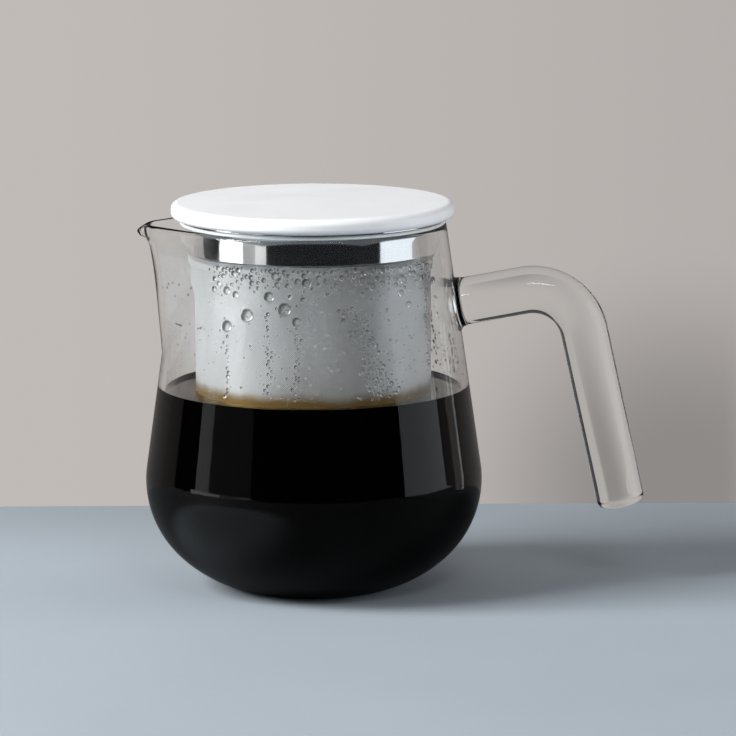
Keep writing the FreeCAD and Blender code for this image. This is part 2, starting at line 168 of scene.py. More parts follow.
def turnPiece(name, points, steps, closed=False):
    # an outline in the radius-height plane is spun about the axis
    piece = drawOutline(name, holdEdges(points, closed), closed)
    selectMesh()
    bpy.ops.mesh.spin(steps=steps, angle=2 * pi, center=(0, 0, 0), axis=(0, 0, 1))
    closeMesh()
    return piece


def turnRing(name, corners, steps, count=6):
    # count is the number of steps along each rounded corner
    return smoothShade(turnPiece(name, roundedCorners(corners, count), steps, True), 50)


def coat(piece, *materials):
    for material in materials:
        piece.data.materials.append(material)


def dress(piece, material, slot, body, *nodes):
    if material:
        piece.data.materials.clear()
        coat(piece, material)
    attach(piece, body)
    if nodes:
        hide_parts(*nodes)
    return piece


# materials; a colour is three numbers

def fillSocket(socket, value):
    # with a link where the value is another node's socket
    if isinstance(value, bpy.types.NodeSocket):
        socket.id_data.links.new(value, socket)
    else:
        socket.default_value = (*value, 1) if socket.type == "RGBA" else value


def setNode(node, **values):
    # a name is a socket's, with _ for a space, or else one of the node's own settings
    for key, value in values.items():
        socket = node.inputs.get(key.replace("_", " "))
        if socket:
            fillSocket(socket, value)
        else:
            setattr(node, key, value)


def addNode(tree, kind, **values):
    node = tree.nodes.new("ShaderNode" + kind)
    setNode(node, **values)
    return node


def emptyTree(owner):
    owner.use_nodes = True
    owner.node_tree.nodes.clear()
    return owner.node_tree


def newMaterial(name, **values):
    material = bpy.data.materials.new(name)
    tree = emptyTree(material)
    shader = addNode(tree, "BsdfPrincipled", **values)
    addNode(tree, "OutputMaterial", Surface=shader.outputs["BSDF"])
    return material, tree, shader


def objectPlace(tree):
    return addNode(tree, "TexCoord").outputs["Object"]


def axisOf(vector, axis):
    return addNode(vector.id_data, "SeparateXYZ", Vector=vector).outputs[axis]


def mapped(vector, **values):
    return addNode(vector.id_data, "Mapping", Vector=vector, **values).outputs["Vector"]


def lengthOf(vector):
    return addNode(vector.id_data, "VectorMath", operation="LENGTH", Vector=vector).outputs["Value"]


def mathOf(operation, first, second=0.5):
    tree = (second if isinstance(first, float) else first).id_data
    node = addNode(tree, "Math", operation=operation)
    fillSocket(node.inputs[0], first)
    fillSocket(node.inputs[1], second)
    return node.outputs["Value"]


def rangeOf(value, fromLow, fromHigh, toLow, toHigh, kind="LINEAR"):
    node = addNode(value.id_data, "MapRange", clamp=True, interpolation_type=kind, Value=value,
                   From_Min=fromLow, From_Max=fromHigh, To_Min=toLow, To_Max=toHigh)
    return node.outputs["Result"]


def fadeOf(value, low, high, start=0.0, end=1.0):
    return rangeOf(value, low, high, start, end, "SMOOTHSTEP")


def mixColours(share, low, high):
    node = addNode(share.id_data, "Mix", data_type="RGBA", Factor=share)
    first, second, result = (socket for socket in (*node.inputs, *node.outputs) if socket.type == "RGBA")
    fillSocket(first, low)
    fillSocket(second, high)
    return result


def noiseOn(tree, scale, detail=4.0, stretch=(1, 1, 1)):
    # noise on object coordinates; a stretch over 1 makes it finer along that axis
    place = mapped(objectPlace(tree), Scale=stretch)
    return addNode(tree, "TexNoise", Vector=place, Scale=scale, Detail=detail, Roughness=0.55).outputs["Fac"]


def mottled(tree, low, high, *noise):
    # a colour that drifts between two tones
    return mixColours(noiseOn(tree, *noise), low, high)


def uneven(tree, low, high, *noise):
    # a value that drifts between two limits
    return rangeOf(noiseOn(tree, *noise), 0.3, 0.7, low, high)


def bumpOn(shader, height, strength, distance):
    bump = addNode(shader.id_data, "Bump", Strength=strength, Distance=distance, Height=height)
    setNode(shader, Normal=bump.outputs["Normal"])


def clearGlass():
    # borosilicate glass, fire polished, with the faint waviness of blown glass
    material, tree, shader = newMaterial("clear glass", Base_Color=(0.985, 0.995, 0.99), Roughness=0.0,
                                         IOR=1.47, Transmission_Weight=1.0, Specular_Tint=(0.55, 0.55, 0.55))
    bumpOn(shader, noiseOn(tree, 55, 1.0, (1, 1, 0.35)), 0.06, 0.0006)
    return material


def waterGlass():
    # clear drops with painted shade on their rims, in place of the light that steep rims turn away; the
    # share of painted shade is stored on the mesh
    material, tree, shader = newMaterial("condensed water", Roughness=0.0, IOR=1.33, Transmission_Weight=1.0,
                                         Specular_IOR_Level=1.0)
    rim = addNode(tree, "Attribute", attribute_name="rim").outputs["Fac"]
    setNode(shader, Base_Color=mixColours(rim, (1.0, 1.0, 1.0), (0.0, 0.001, 0.002)))
    return material


def paintedDropGlint():
    # painted highlight: a whiter, half clear finish on one side of a drop, in place of the window light that
    # it gathers
    return newMaterial("painted drop glint", Base_Color=(0.93, 0.95, 0.97), Roughness=0.25, IOR=1.33,
                       Transmission_Weight=0.5)[0]


def mist(low, top, thin, thick):
    # the film of droplets too small to draw one by one, in soft streaks down the wall
    material, tree, shader = newMaterial("condensed mist", Base_Color=(0.80, 0.87, 0.95), Roughness=0.55,
                                         Specular_IOR_Level=0.3)
    patches = rangeOf(noiseOn(tree, 70, 5.0, (1, 1, 0.22)), 0.33, 0.68, thin, thick)
    speckle = rangeOf(noiseOn(tree, 1100, 2.0), 0.42, 0.62, 0.75, 1.25)
    level = axisOf(objectPlace(tree), "Z")
    edge = fadeOf(level, top - 1.5 * mm, top, 1.0, 0.0)
    foot = fadeOf(level, low + 4 * mm, low + 22 * mm, 0.05, 1.0)
    film = mathOf("MULTIPLY", patches, speckle)
    setNode(shader, Alpha=mathOf("MULTIPLY", film, mathOf("MULTIPLY", edge, foot)))
    return material


def lidWhite():
    # satin white cap, with a fine moulded grain and faint handling marks
    material, tree, shader = newMaterial("satin white", Subsurface_Weight=0.04, Subsurface_Scale=0.002)
    setNode(shader, Base_Color=mottled(tree, (0.845, 0.865, 0.885), (0.885, 0.895, 0.905), 26, 3.0),
            Roughness=uneven(tree, 0.30, 0.42, 40, 5.0, (1, 2.5, 1)))
    bumpOn(shader, noiseOn(tree, 2400, 2.0), 0.08, 0.00004)
    return material


def mattWhite():
    material, tree, shader = newMaterial("matt white underside", Roughness=0.55)
    setNode(shader, Base_Color=mottled(tree, (0.80, 0.815, 0.82), (0.86, 0.87, 0.87), 60, 3.0))
    bumpOn(shader, noiseOn(tree, 1800, 2.0), 0.1, 0.00005)
    return material


def silicone():
    material, tree, shader = newMaterial("clear silicone", Roughness=0.42, Subsurface_Weight=0.25,
                                         Subsurface_Scale=0.003)
    setNode(shader, Base_Color=mottled(tree, (0.70, 0.715, 0.71), (0.80, 0.81, 0.80), 120, 3.0))
    return material


def polishedSteel():
    # mirror finish with the fine circular lines of the polishing wheel
    material, tree, shader = newMaterial("polished steel", Metallic=1.0, Base_Color=(0.83, 0.83, 0.84))
    setNode(shader, Roughness=uneven(tree, 0.05, 0.10, 20, 2.0, (1, 1, 12)))
    return material


def satinSteel():
    # the drawn sleeve under the collar, dulled by the wheel
    material, tree, shader = newMaterial("satin steel", Metallic=0.6)
    setNode(shader, Base_Color=mottled(tree, (0.84, 0.85, 0.86), (0.93, 0.935, 0.94), 60, 4.0, (1, 1, 8)),
            Roughness=uneven(tree, 0.32, 0.42, 40, 3.0, (1, 1, 30)))
    return material


def screenSteel(radius, pitch, turn, wetLevel):
    # etched steel mesh: a diagonal grid of fine holes, counted so that it closes at the seam
    material, tree, shader = newMaterial("etched steel screen", Metallic=0.5, Specular_IOR_Level=0.3)
    place = objectPlace(tree)
    turned = mapped(place, Rotation=(0, 0, pi - radians(turn)))
    around = mathOf("ARCTAN2", axisOf(turned, "Y"), axisOf(turned, "X"))
    count = round(2 * pi * radius / (pitch * sqrt(2)))
    across = mathOf("MULTIPLY", around, count / (2 * pi) * sqrt(2))
    up = mathOf("MULTIPLY", axisOf(turned, "Z"), 1 / pitch)
    flat = addNode(tree, "CombineXYZ", X=across, Y=up).outputs["Vector"]
    slant = mapped(flat, Rotation=(0, 0, radians(45)))
    grid = addNode(tree, "TexVoronoi", voronoi_dimensions="2D", Vector=slant, Scale=1.0, Randomness=0.0)
    hole = rangeOf(grid.outputs["Distance"], 0.22, 0.32, 0.0, 1.0)
    steel = mottled(tree, (0.78, 0.80, 0.82), (0.93, 0.94, 0.95), 70, 4.0, (1, 1, 0.15))
    bare = mixColours(hole, (0.45, 0.46, 0.47), steel)
    # coffee stains the lowest part of the screen amber and then brown
    level = mathOf("ADD", axisOf(place, "Z"), uneven(tree, -1.2 * mm, 1.2 * mm, 60, 3.0, (1, 1, 0.2)))
    amber = fadeOf(level, wetLevel + 1 * mm, wetLevel + 6 * mm, 1.0, 0.0)
    brown = fadeOf(level, wetLevel - 12 * mm, wetLevel - 4 * mm, 1.0, 0.0)
    stained = mixColours(amber, bare, (0.30, 0.19, 0.055))
    stained = mixColours(brown, stained, mixColours(hole, (0.16, 0.13, 0.10), (0.40, 0.35, 0.29)))
    setNode(shader, Base_Color=stained, Roughness=uneven(tree, 0.32, 0.43, 120, 4.0, (1, 1, 0.25)))
    bumpOn(shader, hole, 0.25, 0.00008)
    return material


def coffeeDark():
    # the body of the coffee as it shows through the glass: almost black, brown in the light
    material, tree, shader = newMaterial("coffee body", Roughness=1.0, Specular_IOR_Level=0.0)
    setNode(shader, Base_Color=mottled(tree, (0.0004, 0.0003, 0.0002), (0.0009, 0.0006, 0.0004), 30, 2.0))
    return material


def coffeeTop(innerRadius):
    # the free surface: a dark mirror, with a painted amber reflection of the screen close in front of the
    # filter
    material, tree, shader = newMaterial("coffee surface", Roughness=0.02, IOR=1.13)
    squareX, squareY = (mathOf("POWER", axisOf(objectPlace(tree), axis), 2.0) for axis in "XY")
    away = mathOf("SQRT", mathOf("ADD", squareX, squareY))
    # painted reflection: amber at the screen's radius and inside it, fading out within 6 mm beyond
    thin = fadeOf(away, innerRadius, innerRadius + 6 * mm, 1.0, 0.0)
    setNode(shader, Base_Color=mixColours(thin, (0.004, 0.0025, 0.0015), (0.10, 0.055, 0.015)))
    bumpOn(shader, noiseOn(tree, 30, 2.0), 0.03, 0.0004)
    return material


# jug: outline repeated from the solids, with a fire polished rim and a pulled spout

jug = {
    "height": jugHigh.z,
    "belly": jugHigh.y,
    "bellyLevel": 41.3 * mm,
    "foot": 28.5 * mm,
    "baseArc": 50.5 * mm,
    "sideArc": 39.5 * mm,
    "shoulderArc": 36.0 * mm,
    "rim": 50.7 * mm,
    "wall": 2.8 * mm,
    "floor": 3.6 * mm,
    # steps round the axis; along the base, side and shoulder arcs; along the neck, the foot and the rim
    "steps": 240,
    "outsideSteps": (22, 22, 6),
    "insideSteps": (18, 18, 6),
    "neckSteps": 46,
    "footSteps": 6,
    "rimSteps": 14,
    # spout sections from the lowest to the rim: drop below the rim, reach beyond the neck, nose radius
    "spout": [(0.052, -0.0006, 0.030), (0.034, 0.0034, 0.021), (0.019, 0.0069, 0.0150),
              (0.009, 0.0098, 0.0136), (0.004, 0.0118, 0.0136), (0.0, 0.0128, 0.0139)],
    "leastReach": 0.05 * mm,
    # points crowd towards the spout's middle: by how much, how far round, and over which rise
    "crowding": 0.3,
    "crowdTurn": radians(50),
    "crowdRise": 26 * mm,
    # share of the wall that pulling takes away at the lip, between two turns and over a rise
    "thinned": 0.45,
    "thinTurns": (radians(14), radians(46)),
    "thinRise": (22 * mm, 48 * mm),
    # beak in the middle of the lip: how far it is pulled out and down, half its width, its blend
    "beakOut": 3.1 * mm,
    "beakFall": 2.0 * mm,
    "beakHalf": 2.7 * mm,
    "beakDrops": (6.5 * mm, 1.5 * mm),
}
rise = jug["height"] - jug["bellyLevel"]
shoulderX = jug["belly"] - jug["shoulderArc"]
toRim = Vector((jug["rim"] - shoulderX, rise))
neckTilt = atan2(toRim.y, toRim.x) - acos(jug["shoulderArc"] / toRim.length)


def neckRadius(level):
    # outside radius at a level from the belly up
    if level < jug["bellyLevel"] + jug["shoulderArc"] * sin(neckTilt):
        across = jug["shoulderArc"] ** 2 - max(0.0, level - jug["bellyLevel"]) ** 2
        return shoulderX + sqrt(across)
    return jug["rim"] + (jug["height"] - level) * tan(neckTilt)


def baseArcCentre():
    # the base arc touches the side arc and runs through the foot's edge
    side = Vector((jug["belly"] - jug["sideArc"], jug["bellyLevel"]))
    reach = jug["baseArc"] - jug["sideArc"]
    toSide = side - Vector((jug["foot"], 0))
    share = (jug["baseArc"] ** 2 - reach ** 2 - toSide.length_squared) / (2 * reach * toSide.length)
    turn = atan2(toSide.y, -toSide.x) - acos(share)
    return side + reach * Vector((-cos(turn), sin(turn))), turn


def jugSide(inset, lowTurn, counts):
    # foot to neck along the wall, a distance inset from the outside
    centre, turn = baseArcCentre()
    side = (jug["belly"] - jug["sideArc"], jug["bellyLevel"])
    points = arcPoints(centre, jug["baseArc"] - inset, lowTurn, -turn, counts[0])
    points += arcPoints(side, jug["sideArc"] - inset, -turn, 0, counts[1])[1:]
    points += arcPoints((shoulderX, side[1]), jug["shoulderArc"] - inset, 0, neckTilt, counts[2])[1:]
    return points


def jugOutline():
    centre = baseArcCentre()[0]
    wall, height, foot = jug["wall"], jug["height"], jug["footSteps"]
    footTurn = atan2(-centre.y, jug["foot"] - centre.x)
    outside = jugSide(0, footTurn, jug["outsideSteps"])
    half = wall / 2
    rimCentre = (jug["rim"] - half / cos(neckTilt), height - half)
    rim = arcPoints(rimCentre, half, neckTilt, pi + neckTilt, jug["rimSteps"])
    floorTurn = asin((jug["floor"] - centre.y) / (jug["baseArc"] - wall))
    inside = jugSide(wall, floorTurn, jug["insideSteps"])
    points = [(0, 0)] + straight((0, 0), outside[0], foot) + outside[1:]
    points += straight(outside[-1], rim[0], jug["neckSteps"]) + rim[1:]
    points += straight(rim[-1], inside[-1], jug["neckSteps"]) + inside[-2::-1]
    return points + straight(inside[0], (0, jug["floor"]), foot)


def spoutAt(level):
    # reach beyond the neck and nose radius at a level, through the sections without kinks
    drop = jug["height"] - level
    rows = jug["spout"]
    if drop >= rows[0][0]:
        return rows[0][1:]
    for index, (low, high) in enumerate(zip(rows, rows[1:])):
        if drop >= high[0]:
            break
    before = rows[max(index - 1, 0)]
    after = rows[min(index + 2, len(rows) - 1)]
    gap = low[0] - high[0]
    share = (low[0] - drop) / gap
    cube, square = share ** 3, share ** 2
    values = []
    for slot in (1, 2):
        slopeLow = (high[slot] - before[slot]) / (before[0] - high[0]) * gap
        slopeHigh = (after[slot] - low[slot]) / (low[0] - after[0]) * gap
        values.append((2 * cube - 3 * square + 1) * low[slot] + (cube - 2 * square + share) * slopeLow
                      + (3 * square - 2 * cube) * high[slot] + (cube - square) * slopeHigh)
    return values


def spoutRadius(level, turn, inset):
    # distance from the axis at a turn from the spout's middle: nose circle, tangent flank, then the neck
    neck = neckRadius(level) - inset
    out, nose = spoutAt(level)
    nose -= inset
    centre = neck + out - nose
    if out <= jug["leastReach"] or centre <= neck - nose:
        return neck
    flank = acos((neck - nose) / centre)
    noseTurn = atan2(nose * sin(flank), centre + nose * cos(flank))
    turn = abs(turn)
    if turn >= flank:
        return neck
    if turn >= noseTurn:
        return neck / cos(flank - turn)
    return centre * cos(turn) + sqrt(nose ** 2 - (centre * sin(turn)) ** 2)


def pullSpout(piece):
    # moves the neck's points on the spout's side out to the spout's sections, and the lip's middle to a beak
    foot = jug["height"] - jug["spout"][0][0]
    thinLow, thinHigh = jug["thinRise"]
    beakLow, beakHigh = (jug["height"] - drop for drop in jug["beakDrops"])
    for vertex in piece.data.vertices:
        x, y, z = vertex.co
        if z < foot or x > 0:
            continue
        turn = atan2(y, -x)
        aside = 1 - smooth(0, jug["crowdTurn"], abs(turn))
        turn *= 1 - (1 - jug["crowding"]) * aside * smooth(foot, foot + jug["crowdRise"], z)
        thinned = (1 - smooth(*jug["thinTurns"], abs(turn))) * smooth(foot + thinLow, foot + thinHigh, z)
        inset = (neckRadius(z) - hypot(x, y)) * (1 - jug["thinned"] * thinned)
        reach = spoutRadius(z, turn, inset)
        beak = exp(-(reach * sin(turn) / jug["beakHalf"]) ** 2) * smooth(beakLow, beakHigh, z)
        reach += jug["beakOut"] * beak
        vertex.co = (-reach * cos(turn), reach * sin(turn), z - jug["beakFall"] * beak)


def makeJug():
    piece = turnPiece("jug", jugOutline(), jug["steps"])
    pullSpout(piece)
    return piece


# handle: one bent glass rod, flared where it is fused to the neck

handle = {
    "radius": 9.0 * mm,
    "bend": 20.0 * mm,
    "rise": radians(10),
    "lean": radians(12.2),
    "rootLevel": 108.7 * mm,
    "end": (117.5 * mm, 30.2 * mm),
    "endRound": 3.0 * mm,
    "flare": 1.1 * mm,
    "flareLength": 2.2 * mm,
    "flareCurve": 2.4,
    "sunk": 2.0 * mm,
    # how far the root's hollow fades out along the arm, in flare lengths
    "hollow": 1.6,
    "sides": 64,
    # steps along the flare and past it, the arm, the bend, the leg and the rounded end
    "flareSteps": (14, 3),
    "armSteps": 8,
    "bendSteps": 40,
    "legSteps": 12,
    "endSteps": 10,
}


def rodPath():
    # centre line with its radius: flared arm, bend, leg and rounded end
    rise, lean, bend = handle["rise"], handle["lean"], handle["bend"]
    level, radius, tip = handle["rootLevel"], handle["radius"], handle["endRound"]
    arm = Vector((cos(rise), sin(rise)))
    leg = Vector((sin(lean), -cos(lean)))
    root = Vector((neckRadius(level), level))
    end = Vector(handle["end"])
    gap = end - root
    reach = (gap.x * leg.y - gap.y * leg.x) / (arm.x * leg.y - arm.y * leg.x)
    corner = root + arm * reach
    trim = bend * tan((pi / 2 + rise - lean) / 2)
    armEnd = corner - arm * trim
    legTop = corner + leg * trim
    centre = armEnd + Vector((arm.y, -arm.x)) * bend
    steps, past = handle["flareSteps"]
    stations = [-handle["sunk"] + handle["flareLength"] * step / steps for step in range(steps + past + 1)]
    left, steps = (armEnd - root).length - stations[-1], handle["armSteps"]
    stations += [stations[-1] + left * step / steps for step in range(1, steps + 1)]
    rows = []
    for along in stations:
        share = max(0.0, 1 - along / handle["flareLength"])
        rows.append((root + arm * along, radius + handle["flare"] * share ** handle["flareCurve"]))
    for point in arcPoints(centre, bend, pi / 2 + rise, lean, handle["bendSteps"])[1:]:
        rows.append((Vector(point), radius))
    length, steps = (end - legTop).length - tip, handle["legSteps"]
    for step in range(1, steps + 1):
        rows.append((legTop + leg * length * step / steps, radius))
    steps = handle["endSteps"]
    for step in range(1, steps + 1):
        turn = pi / 2 * step / steps
        rows.append((legTop + leg * (length + tip * sin(turn)), radius - tip + tip * cos(turn)))
    return rows


def makeRod():
    rows = rodPath()
    curve = bpy.data.curves.new("rod", "CURVE")
    curve.dimensions = "3D"
    curve.bevel_depth = 1.0
    curve.bevel_resolution = handle["sides"] // 4 - 2
    curve.use_fill_caps = True
    spline = curve.splines.new("POLY")
    spline.points.add(len(rows) - 1)
    for point, (place, radius) in zip(spline.points, rows):
        point.co = (place.x, 0, place.y, 1)
        point.radius = radius
    makeActive(linkPiece("rod", curve))
    bpy.ops.object.convert(target="MESH")
    piece = bpy.context.object
    # the root follows the round wall that it is fused to
    wallRadius = neckRadius(handle["rootLevel"])
    arm = Vector((cos(handle["rise"]), 0, sin(handle["rise"])))
    start = Vector((wallRadius, 0, handle["rootLevel"]))
    for vertex in piece.data.vertices:
        share = 1 - smooth(0, handle["hollow"] * handle["flareLength"], (vertex.co - start).dot(arm))
        side = min(abs(vertex.co.y), wallRadius)
        recess = wallRadius - sqrt(wallRadius ** 2 - side ** 2)
        vertex.co -= arm * recess * share
    bpy.ops.object.mode_set(mode="EDIT")
    closeMesh()
    return piece


def fuseRod(jugPiece, rodPiece):
    makeActive(jugPiece)
    union = jugPiece.modifiers.new("fused rod", "BOOLEAN")
    union.operation = "UNION"
    union.solver = "EXACT"
    union.object = rodPiece
    bpy.ops.object.modifier_apply(modifier=union.name)
    bpy.data.objects.remove(rodPiece)
    smoothShade(jugPiece, 40)


jugPiece = makeJug()
fuseRod(jugPiece, makeRod())
jugPiece.name = "jug_with_handle"
dress(jugPiece, clearGlass(), "clear_glass", "jug", "jug_glass", "handle_rod")
print("jug and handle:", len(jugPiece.data.polygons), "faces")


# filter: flanged collar, screen tube with a lap seam, base cup and base screen, silicone neck ring

neckFilter = {
    "steps": 160,
    "sheet": 0.8 * mm,
    "edgeRound": 0.35 * mm,
    "flangeRound": 0.45 * mm,
    "flangeRoot": 0.2 * mm,
    "sealRound": 0.5 * mm,
    "sealEdge": 0.1 * mm,
    "sleeve": 45.5 * mm,
    "coneTop": 129.2 * mm,
    "coneFoot": 127.0 * mm,
    "bendRound": 1.2 * mm,
    "satinBelow": 128.8 * mm,
    "screenWall": 0.5 * mm,
    "baseRound": 0.7 * mm,
    "baseLip": 6.0 * mm,
    "basePlate": 0.6 * mm,
    "plateRings": 12,
    "plateSteps": 96,
    "seamTurn": 118.0,
    "seamWidth": 5.0 * mm,
    "seamRise": 0.4 * mm,
    "seamFall": 0.6,
    "seamPower": 6,
    "seamPlate": 0.3 * mm,
    "seamGrid": (10, 24),
    "holePitch": 0.55 * mm,
}


def makeSeal():
    r, edge, low, high = neckFilter["sealRound"], neckFilter["sealEdge"], sealLow.z, sealHigh.z
    inner, outer = collarHigh.x, sealHigh.x
    corners = [(inner, low, edge), (outer, low, r), (outer, high, r), (inner, high, edge)]
    return turnRing("neck_ring", corners, neckFilter["steps"])


def makeCollar():
    sheet, r, bend = neckFilter["sheet"], neckFilter["edgeRound"], neckFilter["bendRound"]
    inner, outer = collarHigh.x - sheet, collarHigh.x
    sleeveOut, sleeveIn = neckFilter["sleeve"], neckFilter["sleeve"] - sheet
    lip, under, top, soft = flangeHigh.x, flangeLow.z, flangeHigh.z, neckFilter["flangeRound"]
    coneTop, coneFoot, low = neckFilter["coneTop"], neckFilter["coneFoot"], collarLow.z
    piece = turnRing("collar", [
        (inner, top, bend), (lip, top, soft), (lip, under, soft), (outer, under, neckFilter["flangeRoot"]),
        (outer, coneTop, bend), (sleeveOut, coneFoot, bend), (sleeveOut, low, r), (sleeveIn, low, r),
        (sleeveIn, coneFoot, bend), (inner, coneTop, bend)], neckFilter["steps"])
    coat(piece, steel, satinSteel())
    for face in piece.data.polygons:
        if face.center.z < neckFilter["satinBelow"]:
            face.material_index = 1
    return piece


def makeScreen():
    outer, low, high = screenHigh.x, screenLow.z, screenHigh.z
    inner = outer - neckFilter["screenWall"]
    outline = [(inner, low), (outer, low), (outer, high), (inner, high)]
    return smoothShade(turnPiece("screen", outline, neckFilter["steps"], True), 40)


def makeSeam():
    # lap strip: a flat plate is cut into columns, wrapped round the screen and given its thickness
    low, high, outer = ringHigh.z, collarLow.z, screenHigh.x
    columns, rows = neckFilter["seamGrid"]
    deselectAll()
    bpy.ops.mesh.primitive_grid_add(x_subdivisions=columns, y_subdivisions=rows, size=1, location=(0, 0, 0))
    piece = bpy.context.object
    piece.name = "lap_seam"
    for vertex in piece.data.vertices:
        across, up = vertex.co.x, vertex.co.y + 0.5
        # the strip is flat in the middle and falls towards its edges
        fall = (2 * across) ** neckFilter["seamPower"] * neckFilter["seamFall"]
        reach = outer + neckFilter["seamRise"] * (1 - fall)
        angle = radians(neckFilter["seamTurn"]) + across * neckFilter["seamWidth"] / outer
        vertex.co = (reach * cos(angle), reach * sin(angle), low + (high - low) * up)
    makeActive(piece)
    plate = piece.modifiers.new("plate", "SOLIDIFY")
    plate.thickness = neckFilter["seamPlate"]
    plate.offset = -1
    bpy.ops.object.modifier_apply(modifier=plate.name)
    bpy.ops.object.mode_set(mode="EDIT")
    closeMesh()
    return smoothShade(piece, 40)


def makeBaseCup():
    sheet, r, soft = neckFilter["sheet"], neckFilter["edgeRound"], neckFilter["baseRound"]
    outer, low, high = ringHigh.x, ringLow.z, ringHigh.z
    inner, floor = outer - sheet, low + sheet
    lip = inner - neckFilter["baseLip"]
    return turnRing("base_cup", [(lip, low, r), (outer, low, soft), (outer, high, r), (inner, high, r),
                                 (inner, floor, 0), (lip, floor, r)], neckFilter["steps"])


def makeBasePlate():
    low, high = screenLow.z, screenLow.z + neckFilter["basePlate"]
    edge, rings = screenHigh.x - neckFilter["screenWall"], neckFilter["plateRings"]
    top = [(edge * step / rings, high) for step in range(rings + 1)]
    under = [(edge * step / rings, low) for step in range(rings, -1, -1)]
    return smoothShade(turnPiece("base_plate", top + under, neckFilter["plateSteps"]), 40)


steel = polishedSteel()
coffeeLevel = 76.0 * mm
mesh = screenSteel(screenHigh.x, neckFilter["holePitch"], neckFilter["seamTurn"], coffeeLevel)
dress(makeSeal(), silicone(), "silicone", "filter", "neck_seal")
dress(makeCollar(), None, "polished_steel", "filter", "filter_flange", "filter_collar")
dress(makeScreen(), mesh, "steel_screen", "filter", "screen_tube")
dress(makeSeam(), steel, "steel_screen", "filter", "screen_seam")
dress(makeBaseCup(), steel, "polished_steel", "filter", "base_ring")
dress(makeBasePlate(), mesh, "steel_screen", "filter", "base_screen")
print("filter made")


# lid: flat cap with soft edges, hollow plug and its gasket

lid = {
    "steps": 200,
    "topRound": 2.6 * mm,
    "underRound": 2.2 * mm,
    # share of the radius where the last ring of the flat faces lies; steps across them and along the edges
    "flat": 0.93,
    "flatSteps": (10, 6),
    "edgeSteps": (14, 12),
    "plugWall": 2.2 * mm,
    "plugRound": 0.4 * mm,
    "plugSteps": 128,
    "gasketSeat": 0.8 * mm,
    "gasketBand": 0.7 * mm,
    "lipSlope": 0.4,
    "lipRound": 0.3 * mm,
    "rootRound": 0.2 * mm,
    "seatRound": 0.1 * mm,
}


def makeCap():
    radius, low, high, flat = lidHigh.x, lidLow.z, lidHigh.z, lidHigh.x * lid["flat"]
    soft, under = lid["topRound"], lid["underRound"]
    top, bottom = lid["flatSteps"]
    points = [(flat * step / top, high) for step in range(top + 1)]
    points += arcPoints((radius - soft, high - soft), soft, pi / 2, 0, lid["edgeSteps"][0])
    points += arcPoints((radius - under, low + under), under, 0, -pi / 2, lid["edgeSteps"][1])
    points += [(flat * step / bottom, low) for step in range(bottom, -1, -1)]
    return smoothShade(turnPiece("cap", points, lid["steps"]), 40)


def makePlug():
    outer, low, high = plugHigh.x, plugLow.z, plugHigh.z
    inner, seat = outer - lid["plugWall"], outer - lid["gasketSeat"]
    r, edge, grooveLow, grooveHigh = lid["plugRound"], lid["seatRound"], gasketLow.z, gasketHigh.z
    return turnRing("plug", [
        (inner, low, r), (outer, low, r), (outer, grooveLow, edge), (seat, grooveLow, edge),
        (seat, grooveHigh, edge), (outer, grooveHigh, edge), (outer, high, 0), (inner, high, 0)],
        lid["plugSteps"])


def makeGasket():
    # two soft lips on a thin band
    low, high, outer = gasketLow.z, gasketHigh.z, gasketHigh.x
    inner, root = plugHigh.x - lid["gasketSeat"], plugHigh.x + lid["gasketBand"]
    middle, third = (low + high) / 2, (high - low) / 3
    tip, soft, r, edge = third * lid["lipSlope"], lid["lipRound"], lid["rootRound"], lid["seatRound"]
    return turnRing("gasket", [
        (inner, low, edge), (root, low, r), (outer, low + tip, soft), (root, low + third, r),
        (root, middle + third / 2, r), (outer, high - tip, soft), (root, high, r), (inner, high, edge)],
        lid["plugSteps"], 4)


dress(makeCap(), lidWhite(), "white_lid", "lid", "lid_cap")
dress(makePlug(), mattWhite(), "lid_underside", "lid", "lid_plug")
dress(makeGasket(), silicone(), "silicone", "lid", "lid_gasket")
print("lid made")


# coffee: its side lies inside the wall, so that it fills the glass as the eye sees it

coffee = {
    "level": coffeeLevel,
    "sink": 0.55,
    # share of the floor's thickness that it reaches down
    "footSink": 0.5,
    "arcSteps": (16, 16, 5),
    "neckSteps": 12,
    # it climbs the wall in a curve that falls off with the distance from it
    "climb": 1.3 * mm,
    "climbWidth": 2.4 * mm,
    "climbSteps": 12,
    "climbFall": 4.48,
    # shares of the radius at which the level top has its rings
    "rings": (0.92, 0.8, 0.6, 0.4, 0.2, 0),
    "steps": 160,
}


def makeCoffee():
    inset, level, count = jug["wall"] * coffee["sink"], coffee["level"], coffee["climbSteps"]
    centre = baseArcCentre()[0]
    lowTurn = asin((jug["floor"] * coffee["footSink"] - centre.y) / (jug["baseArc"] - inset))
    side = jugSide(inset, lowTurn, coffee["arcSteps"])
    edgeLevel = level + coffee["climb"]
    top = neckRadius(edgeLevel) - inset
    outline = [(0, side[0][1]), (side[0][0] / 2, side[0][1])] + side
    outline += straight(side[-1], (top, edgeLevel), coffee["neckSteps"])
    inner = neckRadius(level) - jug["wall"]
    outline.append((inner, edgeLevel))
    for step in range(1, count + 1):
        climb = coffee["climb"] * exp(-coffee["climbFall"] * step / count)
        outline.append((inner - coffee["climbWidth"] * step / count, level + climb))
    last = outline[-1][0]
    outline += [(last * share, level) for share in coffee["rings"]]
    return smoothShade(turnPiece("coffee", outline, coffee["steps"]), 60)


def isFreeSurface(face):
    inside = hypot(face.center.x, face.center.y) < neckRadius(coffee["level"]) - jug["wall"] * 0.9
    return inside and face.normal.z > 0.2 and face.center.z > coffee["level"] - mm


coffeePiece = dress(makeCoffee(), coffeeDark(), "clear_glass", "jug")
coat(coffeePiece, coffeeTop(screenHigh.x))
for face in coffeePiece.data.polygons:
    if isFreeSurface(face):
        face.material_index = 1
print("coffee made")


# condensation: a mist film, a dense band, single drops and runs on the inside of the neck

